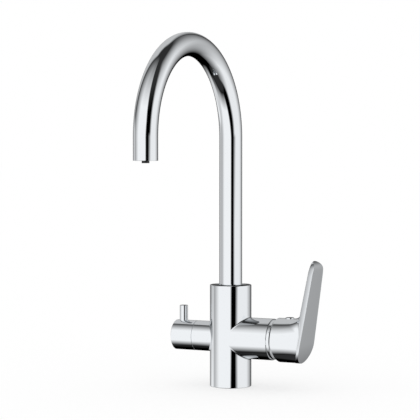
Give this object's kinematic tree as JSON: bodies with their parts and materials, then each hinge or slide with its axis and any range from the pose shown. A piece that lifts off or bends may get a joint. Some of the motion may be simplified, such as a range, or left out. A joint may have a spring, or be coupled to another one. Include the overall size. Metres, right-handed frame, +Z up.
{
  "type": "three way filtered water kitchen tap",
  "caption": "Chrome kitchen mixer tap with a high swivel spout, a side mixer lever, a small filtered water knob with a pin, and a separate nozzle inside the outlet.",
  "frame": {"origin": "centre of the base's underside, on the worktop", "axes": "+Z up the body; spout's outlet towards -Y; mixer branch and lever towards +X; filtered water branch towards -X"},
  "size_m": [0.1657, 0.2224, 0.3695],
  "materials": {
    "chrome": "polished",
    "brass": "machined",
    "steel": "satin",
    "white_plastic": "matte",
    "grey_plastic": "matte",
    "black_plastic": "satin",
    "blue_tube": "satin",
    "rubber": "matte",
    "ceramic": "ground"
  },
  "bodies": {
    "fixed_body": {"tap_body": "chrome", "base_seal": "rubber", "slip_washer": "white_plastic", "spout_grub_screw": "steel", "cartridge_base": "grey_plastic", "port_seals": "rubber", "fixed_disc": "ceramic", "cartridge_housing": "grey_plastic", "cartridge_nut": "brass", "collar_ring": "chrome", "valve_bonnet": "brass", "bonnet_seal": "rubber", "valve_seat_seal": "rubber", "valve_fixed_disc": "ceramic"},
    "spout": {"spout_tube": "chrome", "spout_spigot": "brass", "spigot_o_rings": "rubber", "filtered_water_tube": "blue_tube", "tube_tail": "brass", "tail_o_ring": "rubber", "filtered_nozzle": "black_plastic", "aerator_housing": "grey_plastic", "aerator_screen": "grey_plastic", "aerator_core": "white_plastic", "aerator_washer": "rubber"},
    "rotor": {"cartridge_rotor": "white_plastic", "pivot_pin": "steel"},
    "lever": {"handle": "chrome", "handle_grub_screw": "steel", "index_plug": "chrome", "lever_spindle": "brass"},
    "mixing_disc": {"moving_disc": "ceramic", "disc_carrier": "white_plastic"},
    "filter_knob": {"valve_knob": "chrome", "pin_lever": "chrome", "valve_spindle": "brass", "valve_moving_disc": "ceramic", "spindle_o_ring": "rubber"}
  },
  "joints": [
    {"name": "spout_swivel", "type": "hinge", "parent": "fixed_body", "child": "spout", "pos_m": [0, 0, 0.09], "axis": [0, 0, 1], "continuous": true},
    {"name": "mixer_temperature", "type": "hinge", "parent": "fixed_body", "child": "rotor", "pos_m": [0.038, 0, 0.0519], "axis": [1, 0, 0], "range_deg": [-45, 45]},
    {"name": "mixer_flow", "type": "hinge", "parent": "rotor", "child": "lever", "pos_m": [0.038, 0, 0.0519], "axis": [0, 1, 0], "range_deg": [0, 17]},
    {"name": "mixing_disc_slide", "type": "slide", "parent": "rotor", "child": "mixing_disc", "axis": [0, 0, 1], "range_m": [0, 0.0021]},
    {"name": "filter_valve_turn", "type": "hinge", "parent": "fixed_body", "child": "filter_knob", "pos_m": [-0.0561, 0, 0.0519], "axis": [1, 0, 0], "range_deg": [0, 90]}
  ],
  "couplings": [
    {"joint": "mixing_disc_slide", "follows": "mixer_flow", "m_per_rad": 0.0064}
  ]
}
